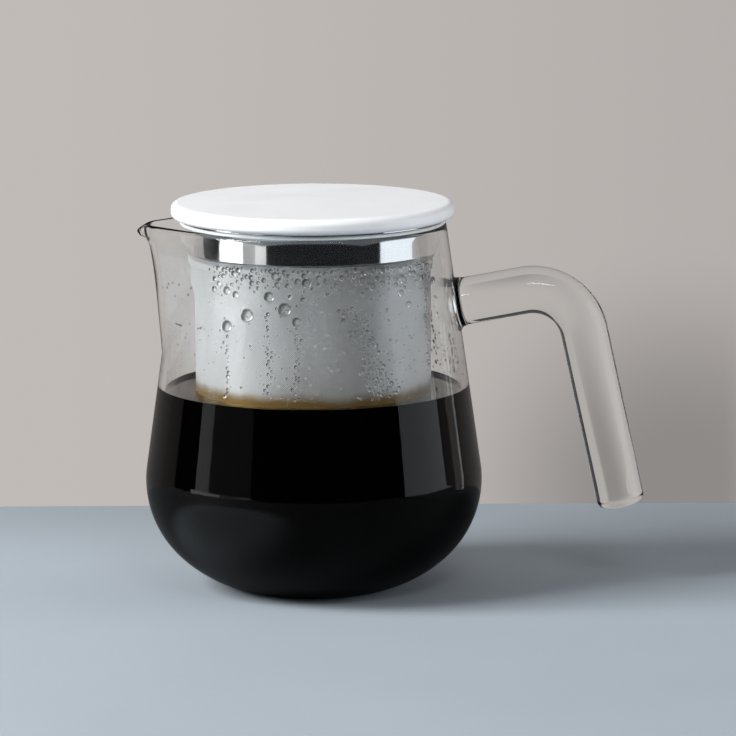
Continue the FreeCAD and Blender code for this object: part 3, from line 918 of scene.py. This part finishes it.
drops = {
    "gap": 0.05 * mm,
    "mistGap": 1.25 * mm,
    "mistThin": 0.02,
    "mistThick": 0.20,
    "mistRows": 40,
    "bandTop": 129.3 * mm,
    "foot": 79.0 * mm,
    "seed": 11,
    # shapes: sides, rings, height and the share of the radius left clear of painted shade; the least radius
    # of the last two
    "tinyShape": (8, 3, 0.85, 0.35),
    "smallShape": (12, 4, 0.8, 0.25),
    "largeShape": (24, 8, 0.75, 0.45),
    "smallFrom": 0.45 * mm,
    "largeFrom": 1.1 * mm,
    "stretch": 1.06,
    # the painted shade on the rim: its strength, its width and how far it is shifted to the upper left
    "rimShade": 0.96,
    "rimShadeWidth": 0.5,
    "rimShadeShift": (0.25, 0.2),
    # the painted highlight, a pale crescent opposite: the way it lies, its least share of that way and of
    # the radius
    "glintWay": (-0.83, -0.56),
    "glintShare": 0.55,
    "glintFrom": 0.62,
    # large drops on the front: across, level, radius in millimetres
    "large": [(-24.2, 111.1, 2.5), (-10.5, 113.9, 2.5), (-16.1, 118.3, 2.0), (-2.4, 123.7, 1.8),
              (-31.6, 106.5, 2.1), (-31.6, 119.6, 1.5), (-28.3, 118.4, 1.3), (-13.9, 126.1, 1.5),
              (-36.8, 123.8, 1.5), (18.0, 123.9, 1.5), (21.7, 121.6, 1.4), (25.2, 122.4, 1.3),
              (32.8, 123.2, 1.8), (32.0, 118.3, 1.3), (35.0, 113.7, 1.3), (-6.0, 109.4, 1.7),
              (8.6, 122.5, 1.3), (-41.5, 127.2, 1.2), (-38.6, 127.0, 1.1), (4.6, 127.0, 1.1)],
    # large drops at the back: how many, lowest level, least and most radius
    "backLarge": (34, 104, 1.2, 2.4),
    # bands below the top, coarse and fine: how many, distance from the top, spread, least and most radius
    "coarseBand": (430, 1.3, 4.2, 0.65, 1.2),
    "fineBand": (900, 0.7, 5.0, 0.38, 0.62),
    # runs on the front: across, top and foot level; at the back: how many, and limits of top and foot
    "runs": [(-45.5, 127, 101), (-31.6, 105, 80), (-17.0, 112, 82), (-6.0, 108, 80),
             (-4.8, 104, 80), (41.0, 118, 90)],
    "backRuns": (14, (112, 126), (80, 100)),
    "runRadius": (0.35, 0.8),
    "runGap": (0.3, 0.9),
    # how far a drop hangs beside its run, how far a run drifts from drop to drop, in radians
    "frontWander": 0.008,
    "frontDrift": 0.004,
    "backWander": 0.012,
    # how far round from the middle the front goes, and the share of the wall's radius where it ends
    "frontSide": radians(70),
    "frontShare": 0.93,
    # a streak of small drops on the front: how many, across at top and foot, levels of top and foot,
    # width, least radius and how much more
    "streak": (420, 14.0, 26.5, 114.0, 80.0, 2.3, 0.42, 0.5),
    # single small drops everywhere: how many, least radius and how much more
    "scattered": (900, 0.24, 0.3),
    # turns and levels of the free places: beside the handle's root, the spout, its lip
    "rootTurn": 0.5,
    "rootLevel": 95 * mm,
    "spoutTurn": 2.38,
    "spoutShare": 0.75,
    "spoutMost": 0.5 * mm,
    "lipTurn": 2.45,
    "lipLevel": 119 * mm,
    # how close two drops may come, as a share of touching
    "closeness": 0.97,
}


def makeDropShape(name, sides, rings, height, clear):
    # half of a squashed sphere of radius 1, closed flat on its foot, clear out to a share of its radius,
    # with painted shade on the rim beyond it
    deselectAll()
    bpy.ops.mesh.primitive_uv_sphere_add(segments=sides, ring_count=rings * 2, radius=1, location=(0, 0, 0))
    piece = bpy.context.object
    piece.name = name
    bpy.ops.object.mode_set(mode="EDIT")
    selectMesh()
    bpy.ops.mesh.bisect(plane_co=(0, 0, 0), plane_no=(0, 0, 1), clear_inner=True, use_fill=True)
    selectMesh()
    bpy.ops.transform.resize(value=(1, 1, height), center_override=(0, 0, 0))
    closeMesh(0.001)
    # the rim attribute holds painted shade, darkest at the shifted rim; the flat foot stays clear
    rim = piece.data.attributes.new("rim", "FLOAT", "CORNER")
    shiftX, shiftY = drops["rimShadeShift"]
    glintX, glintY = drops["glintWay"]
    for face in piece.data.polygons:
        outside = face.normal.z > -0.9
        across, up = face.center.x, face.center.y
        away = hypot(across, up)
        # faces in the pale crescent get the painted highlight
        if outside and away > drops["glintFrom"] and glintX * across + glintY * up > drops["glintShare"] * away:
            face.material_index = 1
        for corner in face.loop_indices:
            x, y = piece.data.vertices[piece.data.loops[corner].vertex_index].co.xy
            shifted = hypot(x + shiftX, y + shiftY)
            dark = drops["rimShade"] * smooth(clear, clear + drops["rimShadeWidth"], shifted)
            rim.data[corner].value = dark if outside else 0.0
    return piece


def wallPoint(turn, level, inset):
    reach = spoutRadius(level, atan2(sin(turn), -cos(turn)), inset)
    return Vector((reach * cos(turn), reach * sin(turn), level))


def wallPlace(turn, level, inset):
    # a place on the inside of the wall at a turn from +X, and the way that the wall faces there
    step, aside = 0.4 * mm, 0.008
    up = wallPoint(turn, level + step, inset) - wallPoint(turn, level - step, inset)
    side = wallPoint(turn + aside, level, inset) - wallPoint(turn - aside, level, inset)
    return wallPoint(turn, level, inset), up.cross(side).normalized()


def frontTurn(across, level):
    # turn of the place on the wall's front that lies across from the axis
    reach = neckRadius(level) - jug["wall"]
    if abs(across) > drops["frontShare"] * reach:
        return -pi / 2 + copysign(drops["frontSide"], across)
    return -acos(across / reach)


def bandWishes(chance, count, sink, spread, least, most):
    rows = []
    for _ in range(count):
        level = drops["bandTop"] - sink * mm - abs(chance.gauss(0, spread)) * mm
        rows.append((chance.uniform(-pi, pi), level, chance.uniform(least, most) * mm))
    return rows


def runWishes(chance, turnAt, top, foot, wander, drift=0):
    # one run of small drops, each a little beside the one above
    rows, level, aside = [], top, 0.0
    while level > foot:
        radius = chance.uniform(*drops["runRadius"]) * mm
        rows.append((turnAt(level) + aside + chance.gauss(0, wander), level, radius))
        if drift:
            aside += chance.gauss(0, drift)
        level -= radius + chance.uniform(*drops["runGap"]) * mm
    return rows


def dropWishes(chance):
    # (turn, level, radius) of every drop to try, large kinds before small ones
    low, high = drops["foot"], drops["bandTop"]
    wishes = [(frontTurn(across * mm, level * mm), level * mm, radius * mm)
              for across, level, radius in drops["large"]]
    count, lowest, least, most = drops["backLarge"]
    for _ in range(count):
        wishes.append((chance.uniform(0, pi), chance.uniform(lowest * mm, high - 2 * mm),
                       chance.uniform(least, most) * mm))
    wishes += bandWishes(chance, *drops["coarseBand"])
    for across, top, foot in drops["runs"]:
        wishes += runWishes(chance, lambda level: frontTurn(across * mm, level), top * mm, foot * mm,
                            drops["frontWander"], drops["frontDrift"])
    count, tops, feet = drops["backRuns"]
    for _ in range(count):
        turn, top, foot = chance.uniform(0, pi), chance.uniform(*tops) * mm, chance.uniform(*feet) * mm
        wishes += runWishes(chance, lambda level: turn, top, foot, drops["backWander"])
    count, first, last, top, foot, width, least, more = drops["streak"]
    for _ in range(count):
        share = chance.random()
        across = first + (last - first) * share + chance.gauss(0, width)
        level = (top + (foot - top) * share) * mm
        wishes.append((frontTurn(across * mm, level), level, (least + more * chance.random() ** 1.5) * mm))
    wishes += bandWishes(chance, *drops["fineBand"])
    count, least, more = drops["scattered"]
    for _ in range(count):
        wishes.append((chance.uniform(-pi, pi), chance.uniform(low, high - mm),
                       (least + more * chance.random() ** 2) * mm))
    return wishes


def isFree(chance, turn, level, radius):
    # no drops beside the handle's root or high on the spout, and few on the rest of it, all small
    turn = abs(turn)
    if turn < drops["rootTurn"] and level > drops["rootLevel"]:
        return False
    if turn > drops["lipTurn"] and level > drops["lipLevel"]:
        return False
    onSpout = turn > drops["spoutTurn"]
    return not (onSpout and (radius > drops["spoutMost"] or chance.random() < drops["spoutShare"]))


def dropList():
    # a drop that would touch an earlier one is left out; cells of the unrolled wall keep the search short
    chance = random.Random(drops["seed"])
    rows, cells, cell, wallRadius = [], {}, 3 * mm, 52 * mm
    for turn, level, radius in dropWishes(chance):
        if not drops["foot"] < level < drops["bandTop"]:
            continue
        turn = atan2(sin(turn), cos(turn))
        if not isFree(chance, turn, level, radius):
            continue
        across = turn * wallRadius
        key = (int(across // cell), int(level // cell))
        near = [drop for i in range(-2, 3) for j in range(-2, 3)
                for drop in cells.get((key[0] + i, key[1] + j), [])]
        if all(hypot(across - x, level - z) > drops["closeness"] * (radius + r) for x, z, r in near):
            cells.setdefault(key, []).append((across, level, radius))
            rows.append((turn, level, radius))
    return rows


def makeDrops():
    tiny = makeDropShape("tiny drop", *drops["tinyShape"])
    small = makeDropShape("small drop", *drops["smallShape"])
    large = makeDropShape("large drop", *drops["largeShape"])
    collected = bmesh.new()
    for turn, level, radius in dropList():
        base = large if radius > drops["largeFrom"] else small if radius > drops["smallFrom"] else tiny
        place, inward = wallPlace(turn, level, jug["wall"] + drops["gap"])
        facing = inward.to_track_quat("Z", "Y").to_matrix().to_4x4()
        shape = Matrix.Diagonal((radius, radius * drops["stretch"], radius, 1))
        copy = base.data.copy()
        copy.transform(Matrix.Translation(place) @ facing @ shape)
        collected.from_mesh(copy)
        bpy.data.meshes.remove(copy)
    data = bpy.data.meshes.new("drops")
    collected.to_mesh(data)
    collected.free()
    piece = linkPiece("drops", data)
    for shape in (tiny, small, large):
        bpy.data.objects.remove(shape)
    return smoothShade(piece, 50)


def makeMist():
    low, high, rows = drops["foot"] - mm, drops["bandTop"], drops["mistRows"]
    inset = jug["wall"] + drops["mistGap"]
    levels = [low + (high - low) * step / rows for step in range(rows + 1)]
    piece = turnPiece("mist", [(neckRadius(level) - inset, level) for level in levels], jug["steps"])
    pullSpout(piece)
    makeActive(piece)
    bpy.ops.object.shade_smooth()
    return piece


dropPiece = dress(makeDrops(), waterGlass(), "clear_glass", "jug")
coat(dropPiece, paintedDropGlint())
film = mist(drops["foot"], drops["bandTop"], drops["mistThin"], drops["mistThick"])
dress(makeMist(), film, "clear_glass", "jug")
print("condensation:", len(dropPiece.data.polygons), "faces")


# stage: table, wall card, cards out of view, lamps and the camera

stage = {
    "table": 0.60,
    "tableFar": 1.4,
    "wallBack": 0.159,
    "wallLeft": -0.30,
    "wallRight": 0.285,
    "wallTop": 0.225,
    "wallWide": 1.5,
    # the wall's painted shadow: its middle, its fades outwards and at the side; the painted light's fade to
    # the right
    "shadeMiddle": (0.152, 0.005),
    "shadeFade": (0.02, 0.108),
    "shadeSide": (0.168, 0.19),
    "wallLightFade": (-0.10, 0.17),
    # painted shade darkens the table towards the wall's foot, and mirrors show it painted dark beyond a
    # place in front
    "wallFootShade": 0.03,
    "mirrorMiddle": (-0.12, -0.09),
    "mirrorFade": (0.07, 0.11),
    "tableColour": (0.335, 0.38, 0.42),
    "wallColour": (0.53, 0.495, 0.475),
    "shadeColour": (0.27, 0.255, 0.245),
    "fillColour": (0.06, 0.06, 0.07),
    "glassColour": (0.22, 0.22, 0.22),
    "roomColour": (0.006, 0.006, 0.007),
    "flagColour": (0.05, 0.05, 0.05),
    # the room in mirrors: sides of its low and high wall, where they meet, and the ceiling
    "lowLeft": -0.58,
    "highLeft": -1.5,
    "roomRight": 1.0,
    "roomStep": 0.2,
    "roomTop": 1.3,
    "ceilingHalf": 1.2,
    "ceilingNear": -0.7,
    # dark flags beside and above the wall, and two pale cards just above the table, which meet at a joint
    "flagLeft": 0.02,
    "flagTop": 0.9,
    "cardRight": 0.25,
    "cardJoint": 0.045,
    "cardNear": 0.05,
    # the left window in panes: near and far side, foot and top, level; its far end is bright,
    # and its middle is dimmed by what stands outside
    "panes": {
        "far low": (-0.46, 0.0, -0.25, 0.02, 1.9),
        "far middle": (-0.28, -0.07, 0.02, 0.26, 1.0),
        "far high": (-0.28, 0.0, 0.26, 0.62, 13.0),
        "low": (-0.76, -0.46, -0.25, 0.02, 0.45),
        "low near": (-1.10, -0.76, -0.25, 0.02, 0.85),
        "middle": (-1.07, -0.28, 0.02, 0.26, 0.14),
        "high": (-1.07, -0.28, 0.26, 0.62, 1.3),
    },
    # the other lamps: place, target, width, height, level and colour
    "lamps": {
        "window right": ((1.0, -0.10, 0.25), (0, -0.10, 0.25), 0.84, 0.72, 1.12, (0.92, 0.98, 1.04)),
        "key left": ((-1.38, -0.50, 1.11), (0, 0, 0.05), 0.9, 0.9, 18.5),
        "overhead": ((0.1, -0.1, 1.5), (0, 0, 0), 1.2, 1.2, 0.3),
        "strip above": ((0.26, -0.91, 0.85), (0.08, 0, 0.11), 0.45, 0.10, 14.0),
        "bounce right": ((1.1, -0.30, 0.30), (0, 0, 0.13), 1.0, 0.6, 2.6),
    },
    "paneAway": -1.0,
    "cameraPlace": (0, -2.0, 0.4166),
    "cameraTarget": (0.02074, 0, 0.08351),
    "cameraRoll": 0.2025,
    "lens": 260.906,
    # thick glass needs long light paths
    "bounces": 32,
}


def dimmed(colour, share):
    return tuple(share * value for value in colour)


def hideFrom(piece, *rays):
    for ray in rays:
        setattr(piece, "visible_" + ray, False)


def addPanel(name, corners):
    data = bpy.data.meshes.new(name)
    data.from_pydata(corners, [], [tuple(range(len(corners)))])
    piece = linkPiece(name, data)
    return piece


def uprightPanel(name, left, right, back, low, high):
    return addPanel(name, [(left, back, low), (right, back, low), (right, back, high), (left, back, high)])


def levelPanel(name, left, right, first, last, level):
    # faces up where last lies beyond first, else down
    return addPanel(name, [(left, first, level), (right, first, level), (right, last, level),
                           (left, last, level)])


def rayDepth(tree, kind, comparison, limit):
    depth = addNode(tree, "LightPath").outputs[kind + " Depth"]
    return mathOf(comparison, depth, limit)


def makeTable():
    size, colour = stage["table"], stage["tableColour"]
    piece = levelPanel("table", -size, size, -size, stage["tableFar"], 0)
    material, tree, shader = newMaterial("pale table", Roughness=0.75, Specular_IOR_Level=0.15)
    tone = mottled(tree, dimmed(colour, 0.93), dimmed(colour, 1.06), 9, 5.0)
    place = objectPlace(tree)
    # painted shade at the wall's foot
    far = fadeOf(axisOf(place, "Y"), stage["wallFootShade"], stage["wallBack"])
    tone = mixColours(far, tone, dimmed(colour, 0.76))
    # mirrors show it painted dark except round a place in front, so that dark contents stay dark
    x, y = stage["mirrorMiddle"]
    away = fadeOf(lengthOf(mapped(place, Location=(-x, -y, 0))), *stage["mirrorFade"])
    mirrored = mathOf("MULTIPLY", away, addNode(tree, "LightPath").outputs["Is Glossy Ray"])
    setNode(shader, Base_Color=mixColours(mirrored, tone, dimmed(colour, 0.2)))
    coat(piece, material)


def cardMaterial(name, colour, shownTo="all"):
    # seen from its front only, and by all rays, by mirrors only or through clear glass only
    material = bpy.data.materials.new(name)
    tree = emptyTree(material)
    glow = addNode(tree, "Emission", Color=colour)
    hidden = addNode(tree, "NewGeometry").outputs["Backfacing"]
    if shownTo == "mirrors":
        hidden = mathOf("MAXIMUM", hidden, rayDepth(tree, "Glossy", "LESS_THAN", 0.5))
    if shownTo == "glass":
        hidden = mathOf("MAXIMUM", hidden, rayDepth(tree, "Glossy", "GREATER_THAN", 0.5))
    mixed = addNode(tree, "MixShader")
    clear = addNode(tree, "BsdfTransparent")
    for socket, value in zip(mixed.inputs, (hidden, glow.outputs[0], clear.outputs[0])):
        fillSocket(socket, value)
    addNode(tree, "OutputMaterial", Surface=mixed.outputs[0])
    return material, tree, glow


def onSkin(tree):
    # 1 for a ray that is mirrored by the outer skin of the glass, with nothing between
    return mathOf("MULTIPLY", rayDepth(tree, "Glossy", "GREATER_THAN", 0.5),
                  rayDepth(tree, "Transmission", "LESS_THAN", 0.5))


def makeWall():
    # a card glowing in place of a lit wall, with a painted shadow low on the handle's side and painted light
    # that dims to the right
    back, colour, wide = stage["wallBack"], stage["wallColour"], stage["wallWide"]
    piece = uprightPanel("wall", stage["wallLeft"], stage["wallRight"], back, 0, stage["wallTop"])
    material, tree, glow = cardMaterial("pale wall", colour)
    place = objectPlace(tree)
    across = axisOf(place, "X")
    # painted shadow low on the handle's side
    shadeX, shadeZ = stage["shadeMiddle"]
    away = lengthOf(mapped(place, Location=(-shadeX, 0, -shadeZ), Scale=(1, 0, 1)))
    shade = mathOf("MULTIPLY", fadeOf(across, *stage["shadeSide"], 1.0, 0.1),
                   fadeOf(away, *stage["shadeFade"], 1.0, 0.0))
    # painted light, dimming to the right
    paintedFalloff = mixColours(rangeOf(across, *stage["wallLightFade"], 0.0, 1.0), colour, dimmed(colour, 0.87))
    tone = mixColours(shade, paintedFalloff, stage["shadeColour"])
    # mirrored by the glass skin, the wall is painted darker
    setNode(glow, Color=mixColours(onSkin(tree), tone, dimmed(colour, 0.3)))
    coat(piece, material)
    hideFrom(piece, "shadow")
    # beyond its edges it goes on for the camera alone
    beyond = uprightPanel("wall_beyond", -wide, wide, back + mm, 0, wide)
    coat(beyond, material)
    hideFrom(beyond, "shadow", "diffuse", "glossy", "transmission")


def showInMirrors(piece, share):
    # the rest of the room, for mirrors only
    colour = dimmed(stage["wallColour"], share)
    material, tree, glow = cardMaterial(piece.name, colour, "mirrors")
    setNode(glow, Color=mixColours(onSkin(tree), colour, dimmed(stage["wallColour"], 0.35 * share)))
    coat(piece, material)
    hideFrom(piece, "camera", "shadow", "diffuse")


def makeRoom():
    back, right = stage["wallBack"] + 2 * mm, stage["roomRight"]
    step, top, half = stage["roomStep"], stage["roomTop"], stage["ceilingHalf"]
    showInMirrors(uprightPanel("wall_low", stage["lowLeft"], right, back, 0, step), 0.75)
    showInMirrors(uprightPanel("wall_high", stage["highLeft"], right, back, step, top), 0.75)
    showInMirrors(levelPanel("ceiling", -half, half, back, stage["ceilingNear"], top), 0.6)


def showInGlass(piece, colour):
    # dark cloth or pale card out of view, that glass edges show as thin lines
    coat(piece, cardMaterial(piece.name, colour, "glass")[0])
    hideFrom(piece, "camera", "shadow", "diffuse", "glossy")


def makeFlags():
    back, right, top = stage["wallBack"] + 4 * mm, stage["roomRight"], stage["wallTop"]
    dark, pale = stage["flagColour"], dimmed(stage["wallColour"], 0.9)
    showInGlass(uprightPanel("flag_right", stage["wallRight"], right, back, 0, top), dark)
    showInGlass(uprightPanel("flag_top", stage["flagLeft"], right, back, top, stage["flagTop"]), dark)
    far, joint = stage["wallBack"] - mm, stage["cardJoint"]
    showInGlass(levelPanel("card_low_right", joint, stage["cardRight"], 0, far, mm), pale)
    showInGlass(levelPanel("card_low_left", stage["wallLeft"], joint, stage["cardNear"], far, mm), pale)


def makeWorld():
    # a pale backdrop for the eye and through the glass, soft light for matt faces, a dark room in mirrors
    world = bpy.data.worlds.new("room")
    bpy.context.scene.world = world
    tree = emptyTree(world)
    rays = addNode(tree, "LightPath")
    mirrored = rayDepth(tree, "Glossy", "GREATER_THAN", 0.5)
    through = mathOf("MULTIPLY", rays.outputs["Is Transmission Ray"], mathOf("SUBTRACT", 1.0, mirrored))
    seen = mathOf("MAXIMUM", rays.outputs["Is Camera Ray"], through)
    # light that is mirrored inside the glass wall and leaves it again
    inside = mathOf("MULTIPLY", rayDepth(tree, "Transmission", "GREATER_THAN", 0.5),
                    rayDepth(tree, "Transmission", "LESS_THAN", 2.5))
    inside = mathOf("MAXIMUM", inside, rayDepth(tree, "Glossy", "GREATER_THAN", 1.5))
    mirror = mixColours(inside, stage["roomColour"], stage["glassColour"])
    light = mixColours(mirrored, stage["fillColour"], mirror)
    shader = addNode(tree, "Background", Color=mixColours(seen, light, stage["wallColour"]))
    addNode(tree, "OutputWorld", Surface=shader.outputs[0])


def addLamp(name, place, target, width, height, level, colour=(1, 1, 1)):
    # level is how bright the panel itself looks, where 1 is white
    data = bpy.data.lights.new(name, "AREA")
    data.shape = "RECTANGLE"
    data.size, data.size_y = width, height
    data.energy = level * pi * width * height
    data.color = colour
    lamp = linkPiece(name, data)
    lamp.location = place
    lamp.rotation_euler = (Vector(target) - Vector(place)).to_track_quat("-Z", "Y").to_euler()
    hideFrom(lamp, "camera")
    return lamp


def makeLamps():
    for name, (near, far, low, high, level) in stage["panes"].items():
        x, y, z = stage["paneAway"], (near + far) / 2, (low + high) / 2
        addLamp("window left " + name, (x, y, z), (0, y, z), far - near, high - low, level)
    lamps = {name: addLamp(name, *values) for name, values in stage["lamps"].items()}
    hideFrom(lamps["bounce right"], "glossy", "transmission")


def makeCamera():
    data = bpy.data.cameras.new("camera")
    data.lens = stage["lens"]
    data.sensor_width = 36
    data.clip_end = 20
    camera = linkPiece("camera", data)
    place, target = Vector(stage["cameraPlace"]), Vector(stage["cameraTarget"])
    roll = Matrix.Rotation(-radians(stage["cameraRoll"]), 3, "Z")
    camera.location = place
    camera.rotation_euler = ((target - place).to_track_quat("-Z", "Y").to_matrix() @ roll).to_euler()
    bpy.context.scene.camera = camera


makeTable()
makeWall()
makeRoom()
makeFlags()
makeWorld()
makeLamps()
makeCamera()
bpy.context.scene.view_settings.view_transform = "Standard"
bpy.context.scene.cycles.max_bounces = stage["bounces"]
bpy.context.scene.cycles.transmission_bounces = stage["bounces"]
print("stage made")
